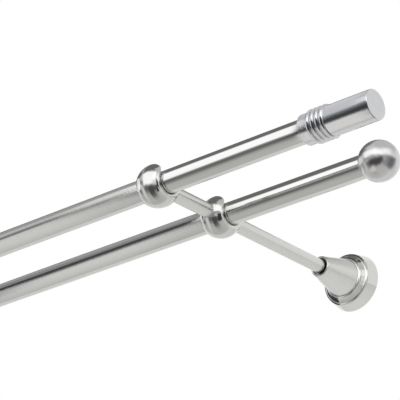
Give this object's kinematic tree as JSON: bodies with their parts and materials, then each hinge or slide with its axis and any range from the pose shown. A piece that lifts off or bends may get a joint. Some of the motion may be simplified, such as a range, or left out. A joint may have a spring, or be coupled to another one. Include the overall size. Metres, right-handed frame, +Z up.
{
  "type": "double curtain pole",
  "caption": "Double curtain pole: two parallel metal tubes held one behind the other by turned wall brackets with ball rings, with ribbed and ball finials.",
  "frame": {"origin": "centre of the right-hand wall plate's back face, on the wall", "axes": "+X along the poles to the right-hand end as seen from the room, +Y into the wall, +Z up"},
  "size_m": [1.284, 0.2286, 0.0424],
  "materials": {
    "pole_steel": "satin brushed along the tube",
    "ring_steel": "polished nickel",
    "arm_steel": "fine satin",
    "cone_steel": "brushed round the cone",
    "rose_steel": "brushed sides, polished rounded steps",
    "ball_steel": "brushed",
    "ribbed_aluminium": "satin turned",
    "plate_steel": "zinc plated",
    "stud_steel": "zinc plated thread",
    "screw_steel": "black oxide"
  },
  "bodies": {
    "root": {"front_pole": "pole_steel", "rear_pole": "pole_steel", "right_wall_plate": "plate_steel", "right_rose": "rose_steel", "right_socket_cone": "cone_steel", "right_wall_stud": "stud_steel", "right_rear_arm": "arm_steel", "right_rear_ring": "ring_steel", "right_rear_ring_back_stud": "stud_steel", "right_rear_ring_front_stud": "stud_steel", "right_front_arm": "arm_steel", "right_front_ring": "ring_steel", "right_front_ring_stud": "stud_steel", "right_rear_ring_screw": "screw_steel", "right_front_ring_screw": "screw_steel", "right_ribbed_finial": "ribbed_aluminium", "right_ball_finial": "ball_steel", "right_ribbed_finial_screw": "screw_steel", "right_ball_finial_screw": "screw_steel", "left_wall_plate": "plate_steel", "left_rose": "rose_steel", "left_socket_cone": "cone_steel", "left_wall_stud": "stud_steel", "left_rear_arm": "arm_steel", "left_rear_ring": "ring_steel", "left_rear_ring_back_stud": "stud_steel", "left_rear_ring_front_stud": "stud_steel", "left_front_arm": "arm_steel", "left_front_ring": "ring_steel", "left_front_ring_stud": "stud_steel", "left_rear_ring_screw": "screw_steel", "left_front_ring_screw": "screw_steel", "left_ribbed_finial": "ribbed_aluminium", "left_ball_finial": "ball_steel", "left_ribbed_finial_screw": "screw_steel", "left_ball_finial_screw": "screw_steel"}
  },
  "joints": []
}
